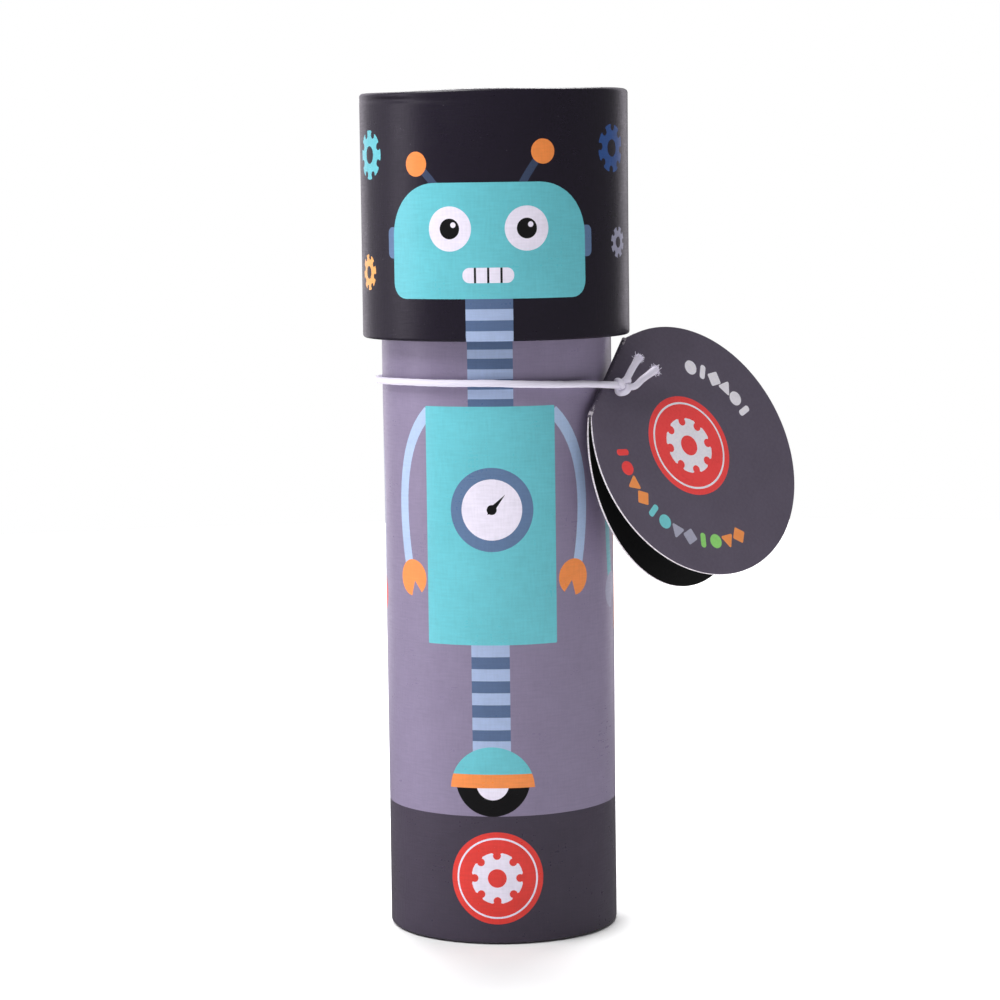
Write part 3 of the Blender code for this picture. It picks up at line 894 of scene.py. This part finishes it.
def make_paper(name, profile, art, ground, body, replaced, looks, rim=None):
    """A printed paper rolled round its tube."""
    reach = extent(replaced)[0]
    place, lengths = rolled(profile, reach, rim)
    half = pi * reach
    across = np.linspace(-half, half + LAP, 188)
    rows = []
    for low, high in zip(lengths, lengths[1:]):
        parts = max(1, round((high - low) / 2.6))
        rows += [low + (high - low) * i / parts for i in range(parts)]
    if rim is not None:
        rows += [rim - 0.35 * i for i in range(2, 11)]
    grid = [(x, y) for y in rows[1:] for x in across[1:-1]]
    outline = block(-half, half + LAP, lengths[0], lengths[-1])
    grounds = (ground, "paper_back", "paper_back")
    mesh = printed_sheet(name, outline, (), grid, art, place, PAPER, grounds, looks)
    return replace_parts(add_piece(name, mesh, body), replaced)


def make_wraps(looks):
    reach, _, top = extent("body_wrap")
    inner = 20.8
    profile = fillet([(inner, 2.6), (inner, 0), (reach, 0), (reach, top)], [0, 0.5, 0.5, 0], closed=False)
    make_paper("body_paper", profile, body_art(reach), "lilac", "body", "body_wrap", looks)
    reach = extent("cap_wrap")[0]
    _, low, high = extent("cap_tube")
    inner = 24.9
    profile = [(inner, low + 2), (inner, low), (reach, low), (reach, high)]
    profile += [(inner, high), (inner, high - 4.7)]
    profile = fillet(profile, [0, 0.5, 0.6, 0.6, 0.5, 0], closed=False)
    make_paper("cap_paper", profile, cap_art(reach), "night", "cap", "cap_wrap", looks, rim=high)


def make_tube(name, inner, under, over, body, replaced, look):
    """A wound card tube inside its paper, kept in from its CAD solid's lower and upper end."""
    outer, low, high = extent(replaced)
    low, high = low + under, high - over
    profile = fillet([(inner, low), (outer, low), (outer, high), (inner, high)], 0.2, steps=3)
    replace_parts(add_piece(name, turned(name, profile, look), body), replaced)


def make_eyepiece(looks):
    """The peephole disc, with a raised lip round the hole and a step at its edge, and its clear window."""
    outer, low, high = extent("eyepiece_disc")
    profile = [(4.5, high), (4.5, low + 0.5), (5.2, low - 0.5), (7.2, low - 0.5), (8.2, low), (17.8, low)]
    profile += [(18.3, low - 0.4), (outer, low - 0.4), (outer, high)]
    mesh = turned("peephole_disc", fillet(profile, 0.18, steps=3), looks["eyepiece"])
    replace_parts(add_piece("peephole_disc", mesh, "body"), "eyepiece_disc")
    outer, low, high = extent("eyepiece_window")
    profile = fillet([(0, low), (outer, low), (outer, high), (0, high)], [0, 0.15, 0.15, 0], steps=3)
    mesh = turned("peephole_window", profile, looks["clear"], 96, closed=False)
    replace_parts(add_piece("peephole_window", mesh, "body"), "eyepiece_window")


def leaf_outline(to_hole):
    corner = degrees(asin(FOLD_OFFSET / TAG_RADIUS))
    return arc(-HOLE_SHIFT, FOLD_OFFSET - to_hole, TAG_RADIUS, -corner, 180 + corner, 120)


def mark(kind, size):
    """One of four plain marks of about the same weight, round the origin."""
    if kind == "disc":
        return circle(0, 0, size / 2, 28)
    if kind == "bar":
        return block(-size * 0.52, size * 0.52, -size * 0.22, size * 0.22, [size * 0.2] * 4)
    if kind == "triangle":
        return fillet(arc(0, 0, size * 0.66, 0, 240, 2), size * 0.1, steps=3)
    return fillet(arc(0, 0, size * 0.62, 0, 270, 3), size * 0.1, steps=3)


MARKS = ("bar", "disc", "triangle", "diamond")


def arc_marks(radius, middle, spread, inks, centre, size):
    """Plain marks in turn along an arc round the centre; the angles are in degrees."""
    art = []
    for i, ink in enumerate(inks):
        angle = middle - spread / 2 + spread * i / (len(inks) - 1)
        shape = [(ink, mark(MARKS[i % len(MARKS)], size))]
        art += moved(moved(shape, radius), *centre, angle)
    return art


BEND = 0.55  # how far each leaf's free edge springs outwards


def leaf_place(leaf, lift):
    """Where a leaf's flat points go, with a slight spring away from the other leaf towards its free edge."""
    def place(flat):
        x, y = flat.T
        reach = np.clip((y + FOLD_OFFSET - HOLE_OFFSET) / (FOLD_OFFSET + TAG_RADIUS), 0, 1)
        out = lift + BEND * reach**2
        slope = 2 * BEND * reach / (FOLD_OFFSET + TAG_RADIUS)
        along, across, normal = (np.array(v) for v in (leaf.along, leaf.across, leaf.normal))
        points = np.array(leaf.origin) / MM + np.outer(x, along) + np.outer(y, across) + np.outer(out, normal)
        normals = normal - np.outer(slope, across)
        return points, normals / np.linalg.norm(normals, axis=1)[:, None]
    return place


LEAF_GRID = 2.2


def leaf_grid(outline, hole):
    """Points inside the leaf that let it bend."""
    low, high = np.min(outline, axis=0), np.max(outline, axis=0)
    xs, ys = (np.arange(a + 1, b, LEAF_GRID) for a, b in zip(low, high))
    points = np.array([(x, y) for x in xs for y in ys])
    keep = inside(points, outline) & ~inside(points, hole)
    return [tuple(p) for p in points[keep].tolist()]


def make_leaves(looks):
    """The tag's two leaves, with plain marks where a label has its words."""
    to_hole = FOLD_OFFSET - HOLE_OFFSET
    outline = leaf_outline(to_hole)
    hole = circle(*PUNCHED, 36)
    centre = (-HOLE_SHIFT, HOLE_OFFSET)
    coloured = [ink for ink in ("red", "orange", "teal", "mist", "green", "orange") for _ in range(2)]
    art = badge(centre[0] + 0.2, centre[1] - 1.6, 10.6)
    art += arc_marks(18.2, 182, 50, ["white"] * 6, centre, 3.1)
    art += arc_marks(19.6, 5, 108, coloured, centre, 3.0)
    place = leaf_place(FRONT_LEAF, LEAF_THICKNESS / 2)
    add_leaf("tag_front", outline, hole, art, place, "tag", "tag_front_leaf", looks)

    # The back leaf's frame starts on the fold and is seen from behind, so its drawing is turned over and its
    # hole lies away from the origin.
    outline = [(-x, y + to_hole) for x, y in reversed(outline)]
    hole = circle(0, to_hole, HOLE_RADIUS, 40)
    centre = (HOLE_SHIFT, FOLD_OFFSET)
    art = [("mist", circle(*centre, 9.4, 88)), ("slate", circle(*centre, 8.9, 84))]
    art += wheel(*centre, 6.2, "mist", "slate")
    place = leaf_place(BACK_LEAF, LEAF_DEPTH + LEAF_THICKNESS / 2)
    add_leaf("tag_back_face", outline, hole, art, place, "tag_back", "tag_back_leaf", looks)


def add_leaf(name, outline, hole, art, place, body, replaced, looks):
    art = [(f"tag_{ink}", shape) for ink, shape in art]
    grounds = ("tag_slate", "tag_coal", "edge")
    grid = leaf_grid(outline, hole)
    mesh = printed_sheet(name, outline, (hole,), grid, art, place, LEAF_THICKNESS, grounds, looks)
    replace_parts(add_piece(name, mesh, body), replaced)


def make_fold(looks):
    """The crease that joins the two leaves: half a small tube along the fold."""
    inner, outer = LEAF_DEPTH - LEAF_THICKNESS / 2, LEAF_DEPTH + LEAF_THICKNESS / 2
    half_length = (TAG_RADIUS**2 - FOLD_OFFSET**2) ** 0.5
    to_hole = FOLD_OFFSET - HOLE_OFFSET
    opening = degrees(acos(-FRONT_LEAF.normal.dot(BACK_LEAF.normal)))
    section = arc(0, 0, outer, 90, 270 - opening, 12) + arc(0, 0, inner, 270 - opening, 90, 12)
    form = bmesh.new()
    layer = form.loops.layers.uv.new("map")
    rows = []
    stations = 12
    for k in range(stations + 1):
        x = -HOLE_SHIFT - half_length + 2 * half_length * k / stations
        places = [FRONT_LEAF.at(x, -to_hole + u, -LEAF_DEPTH + v) for u, v in section]
        rows.append((x, [form.verts.new(p) for p in places]))
    for (x1, row), (x2, after) in zip(rows, rows[1:]):
        for i in range(len(row)):
            j = (i + 1) % len(row)
            face = form.faces.new((row[i], row[j], after[j], after[i]))
            for corner, (x, y) in zip(face.loops, ((x1, i), (x1, j), (x2, j), (x2, i))):
                corner[layer].uv = (x, y * 0.12)
    form.faces.new(rows[0][1])
    form.faces.new(rows[-1][1])
    add_piece("tag_fold", finish_form("tag_fold", form, looks["fold"], 40), "tag")


def knot_path():
    """A closed overhand knot, drawn tight."""
    path = []
    for t in [tau * k / 132 for k in range(132)]:
        along = 0.55 * sin(t) + 1.06 * sin(2 * t)
        across = 0.46 * cos(t) - 0.92 * cos(2 * t)
        out = -0.82 * sin(3 * t)
        path.append(FRONT_LEAF.at(KNOT_PLACE[0] + along, KNOT_PLACE[1] + across, KNOT_PLACE[2] + out))
    return path


def make_elastic(looks):
    """The elastic round the body, its knot in front of the tag, and its two cut ends."""
    path = elastic_path(FRONT_LEAF.at(*KNOT_PLACE))
    radius = CORD_DIAMETER / 2 * MM
    form = bmesh.new()
    sweep(form, path, lambda d: radius * (1 + 0.025 * sin(d / MM * 0.9) + 0.02 * sin(d / MM * 2.3)), 16)
    mesh = finish_form("elastic_loop", form, looks["elastic"])
    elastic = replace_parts(add_piece("elastic_loop", mesh, "body"), "tag_elastic")

    form = bmesh.new()
    sweep(form, knot_path(), lambda d: KNOT_STRAND * MM * (1 + 0.04 * sin(d / MM * 1.7)), 16, closed=True)
    mesh = finish_form("elastic_knot", form, looks["elastic"])
    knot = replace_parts(add_piece("elastic_knot", mesh, "tag"), "tag_knot")

    ends = [make_cord_end(number, points, looks) for number, points in enumerate(CORD_ENDS, start=1)]


def make_cord_end(number, points, looks):
    """A cut end that spreads a little and frays into fine fibres."""
    knot = FRONT_LEAF.at(*KNOT_PLACE)
    places = [FRONT_LEAF.at(*p) for p in points]
    path = smooth_route([knot.lerp(places[0], 0.4), *places], 0.35 * MM)
    total = sum((b - a).length for a, b in zip(path, path[1:]))
    form = bmesh.new()
    sweep(form, path, lambda d: (0.70 + 0.14 * max(0, d / total - 0.7) / 0.3) * MM, 16)
    chance = random.Random(number)
    tip, heading = path[-1], (path[-1] - path[-3]).normalized()
    side = heading.orthogonal()
    for _ in range(70):
        turn = Quaternion(heading, chance.uniform(0, tau))
        out = turn @ side
        start = tip + out * chance.uniform(0.1, 0.75) * MM - heading * chance.uniform(0, 0.5) * MM
        lean = heading * chance.uniform(0.3, 1.0) + out * chance.uniform(0.1, 0.7)
        length = chance.uniform(0.3, 0.75) * MM
        curl = heading.cross(out) * chance.uniform(-0.5, 0.5) * length
        fibre = [start, start + lean * length * 0.5 + curl * 0.3, start + lean * length + curl]
        sweep(form, fibre, lambda d: 0.05 * MM, 5)
    name = f"elastic_end_{number}"
    piece = add_piece(name, finish_form(name, form, looks["elastic"]), "tag")
    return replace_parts(piece, f"tag_cord_end_{number}")


def make_beads(looks):
    """The beads, each shaped again with the edges and facets of a cast bead."""
    for name, node in sorted(frame["nodes"].items()):
        if not name.startswith("bead_"):
            continue
        low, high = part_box(name)
        centre, size = (low + high) / 2, (high - low) / 2
        kind, number = name.split("_")[1:3]
        form = bmesh.new()
        if kind == "round":
            pierced_ball(form, size.z)
        elif kind == "gem":
            cut_gem(form, size)
        elif kind == "star":
            puffed_star(form, size.x, size.z)
        else:
            ring_bead(form, size.x)
        bmesh.ops.translate(form, verts=form.verts, vec=centre)
        colour = node.material_slots[0].name
        smooth = 30 if kind in ("gem", "star") else 50
        mesh = finish_form(f"{kind}_{number}", form, looks[colour], smooth)
        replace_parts(add_piece(f"{kind}_bead_{number}", mesh, "beads"), name)


def pierced_ball(form, radius):
    """A round bead with a threading hole."""
    hole = radius * 0.24
    tilt = degrees(asin(hole / radius))
    angles = [radians(tilt + 3 + (174 - 2 * tilt) * i / 18) for i in range(19)]
    profile = [(radius * sin(a), radius * cos(a)) for a in angles]
    inner = [(hole, profile[-1][1] + radius * 0.06), (hole, profile[0][1] - radius * 0.06)]
    spin(form, profile + inner, 36)


def ring_bead(form, radius):
    """A short tube bead with rounded rims."""
    inner = radius * 0.42
    profile = [(inner, -radius), (radius, -radius), (radius, radius), (inner, radius)]
    spin(form, fillet(profile, radius * 0.2, steps=4), 32)


def cut_gem(form, size):
    """A faceted bead: table, crown, girdle and pavilion, eight-sided."""
    bands = ((0.50, 1.0), (0.86, 0.52), (1.0, 0.12), (1.0, -0.10), (0.80, -0.58), (0.42, -1.0))
    for number, (reach, height) in enumerate(bands):
        turn = pi / 8 if number in (1, 4) else 0
        for a in [tau * k / 8 + turn for k in range(8)]:
            form.verts.new((size.x * reach * cos(a), size.y * reach * sin(a), size.z * height))
    bmesh.ops.convex_hull(form, input=form.verts)


def puffed_star(form, radius, half_height):
    """A star with soft points and a raised middle."""
    reaches = [radius, radius * 0.52] * 5
    outline = [(reach * cos(i * pi / 5), reach * sin(i * pi / 5)) for i, reach in enumerate(reaches)]
    outline = fillet(outline, [radius * 0.10, radius * 0.12] * 5, steps=4)
    levels = ((0.80, -0.98), (0.93, -0.80), (1.0, -0.45), (1.0, 0.45), (0.93, 0.80), (0.80, 0.98))
    rows = [[form.verts.new((x * reach, y * reach, half_height * height)) for x, y in outline]
            for reach, height in levels]
    for row, after in zip(rows, rows[1:]):
        for k in range(len(row)):
            form.faces.new((row[k], row[(k + 1) % len(row)], after[(k + 1) % len(row)], after[k]))
    for row, height in ((rows[0], -1.0), (rows[-1], 1.0)):
        tip = form.verts.new((0, 0, half_height * height))
        for k in range(len(row)):
            form.faces.new((row[k], row[(k + 1) % len(row)], tip))


CARRIED = {
    "card": (
        "stop_ring",
        "packing_pad_1",
        "packing_pad_2",
        "packing_pad_3",
        "window_ring",
        "cap_collar",
        "chamber_spacer",
        "cap_end_ring",
    ),
    "sleeve": ("mirror_sleeve",),
    "mirror": ("mirror_strip_1", "mirror_strip_2", "mirror_strip_3"),
    "clear": ("mirror_end_window", "chamber_floor"),
    "frosted": ("diffuser_window",),
}


def finish_carried(looks):
    """The CAD pieces whose shape is already right take their finished materials."""
    for look, names in CARRIED.items():
        for name in names:
            for slot in frame["nodes"][name].material_slots:
                slot.material = looks[look]


# ---------------------------------------------------------------- room


# Softboxes: azimuth from the front towards +X and elevation in degrees, distance, width and height in metres,
# and how bright their faces are, where 1 is the white of the surround.
SOFTBOXES = (
    ("left_wall", -111, 12, 0.95, 1.30, 0.85, 0.33),
    ("left_front", -80, 8, 1.10, 0.50, 0.80, 1.06),
    ("left_back", -152, 10, 1.00, 0.45, 0.85, 0.9),
    ("right_back", 151, 10, 1.00, 0.45, 0.85, 0.8),
    ("key_high", -52, 56, 1.10, 0.70, 0.60, 8.8),
    ("back_high", 180, 56, 1.10, 0.80, 0.60, 11.9),
)
AIM = Vector((0, 0, 0.09))
LOW = 20  # degrees; the softboxes lower than this have a tint
LOW_TINT = (1.0, 0.93, 1.04)  # a little violet
WORLD_LIGHT = 0.162


def add_softbox(name, azimuth, elevation, distance, width, height, brightness):
    turn, tilt = radians(azimuth), radians(elevation)
    away = Vector((sin(turn) * cos(tilt), -cos(turn) * cos(tilt), sin(tilt)))
    data = bpy.data.lights.new(name, "AREA")
    data.shape = "RECTANGLE"
    data.size, data.size_y = width, height
    data.energy = brightness * pi * width * height
    data.color = LOW_TINT if elevation < LOW else (1, 1, 1)
    light = bpy.data.objects.new(name, data)
    bpy.context.scene.collection.objects.link(light)
    light.location = AIM + away * distance
    light.rotation_euler = (-away).to_track_quat("-Z", "Y").to_euler()
    light.visible_camera = False


def plain_white(name, brightness):
    """A surface that is white by its own light."""
    made = bpy.data.materials.new(name)
    made.use_nodes = True
    tree = made.node_tree
    tree.nodes.remove(tree.nodes["Principled BSDF"])
    glow = tree.nodes.new("ShaderNodeEmission")
    glow.inputs["Strength"].default_value = brightness
    tree.links.new(glow.outputs[0], tree.nodes["Material Output"].inputs["Surface"])
    return made


def pale_floor():
    look = Look("floor_pale")
    cloud = look.noise(look.solid((6, 6, 6)), detail=3)
    colour = look.shade((0.93, 0.93, 0.93, 1), look.span(cloud, 0.3, 0.7, 0.99, 1.0))
    look.fill(look.shader, {"Base Color": colour, "Roughness": look.span(cloud, 0.3, 0.7, 0.9, 0.95)})
    return look.made


FLOOR_RADIUS = 0.75


def make_room():
    """A plain pale floor in a white surround that only the camera sees, and soft studio lights."""
    below = (0, 0, -0.0003)
    bpy.ops.mesh.primitive_circle_add(vertices=96, radius=FLOOR_RADIUS, fill_type="NGON", location=below)
    floor = bpy.context.object
    floor.name = "floor"
    floor.data.materials.append(pale_floor())
    floor.visible_glossy = False
    bpy.ops.mesh.primitive_uv_sphere_add(segments=48, ring_count=24, radius=8)
    surround = bpy.context.object
    surround.name = "surround"
    surround.data.materials.append(plain_white("surround_white", 1.0))
    for ray in ("diffuse", "glossy", "transmission", "volume_scatter", "shadow"):
        setattr(surround, "visible_" + ray, False)
    world = bpy.data.worlds.new("studio")
    world.use_nodes = True
    background = world.node_tree.nodes["Background"]
    background.inputs["Color"].default_value = (1, 1, 1, 1)
    background.inputs["Strength"].default_value = WORLD_LIGHT
    bpy.context.scene.world = world
    for box in SOFTBOXES:
        add_softbox(*box)
    bpy.context.scene.view_settings.view_transform = "Standard"


def make_looks():
    looks = {name: linen_ink(f"print_{name}", colour) for name, colour in INKS.items()}
    looks.update({f"tag_{name}": tag_ink(f"tag_{name}", colour) for name, colour in TAG_INKS.items()})
    looks["paper_back"] = tag_ink("paper_back", (206, 200, 204))
    looks["edge"] = card_edge()
    looks["fold"] = scuffed_fold()
    looks["card"] = bare_card()
    looks["sleeve"] = black_card()
    looks["eyepiece"] = moulded_plastic()
    looks["mirror"] = mirror_coat()
    looks["clear"] = clear_sheet("clear_sheet", (0.96, 0.98, 0.98), 0.02, 0.12, 1.0, 0.04)
    looks["frosted"] = clear_sheet("frosted_sheet", (0.95, 0.95, 0.96), 0.38, 0.5, 0.92, 0.5)
    looks["elastic"] = braided("elastic_braid", (240, 234, 252))
    for material in frame["record"]["materials"]:
        if material["slot"].startswith("bead_"):
            looks[material["slot"]] = bead_plastic(material["slot"] + "_cast", material["base_color"][:3])
    return looks


make_camera()
LOOKS = make_looks()
make_wraps(LOOKS)
make_tube("body_card_tube", 21.0, 0.25, 0, "body", "body_tube", LOOKS["card"])
make_tube("cap_card_tube", 25.15, 0.3, 0.3, "cap", "cap_tube", LOOKS["card"])
make_eyepiece(LOOKS)
make_leaves(LOOKS)
make_fold(LOOKS)
make_elastic(LOOKS)
make_beads(LOOKS)
finish_carried(LOOKS)
make_room()
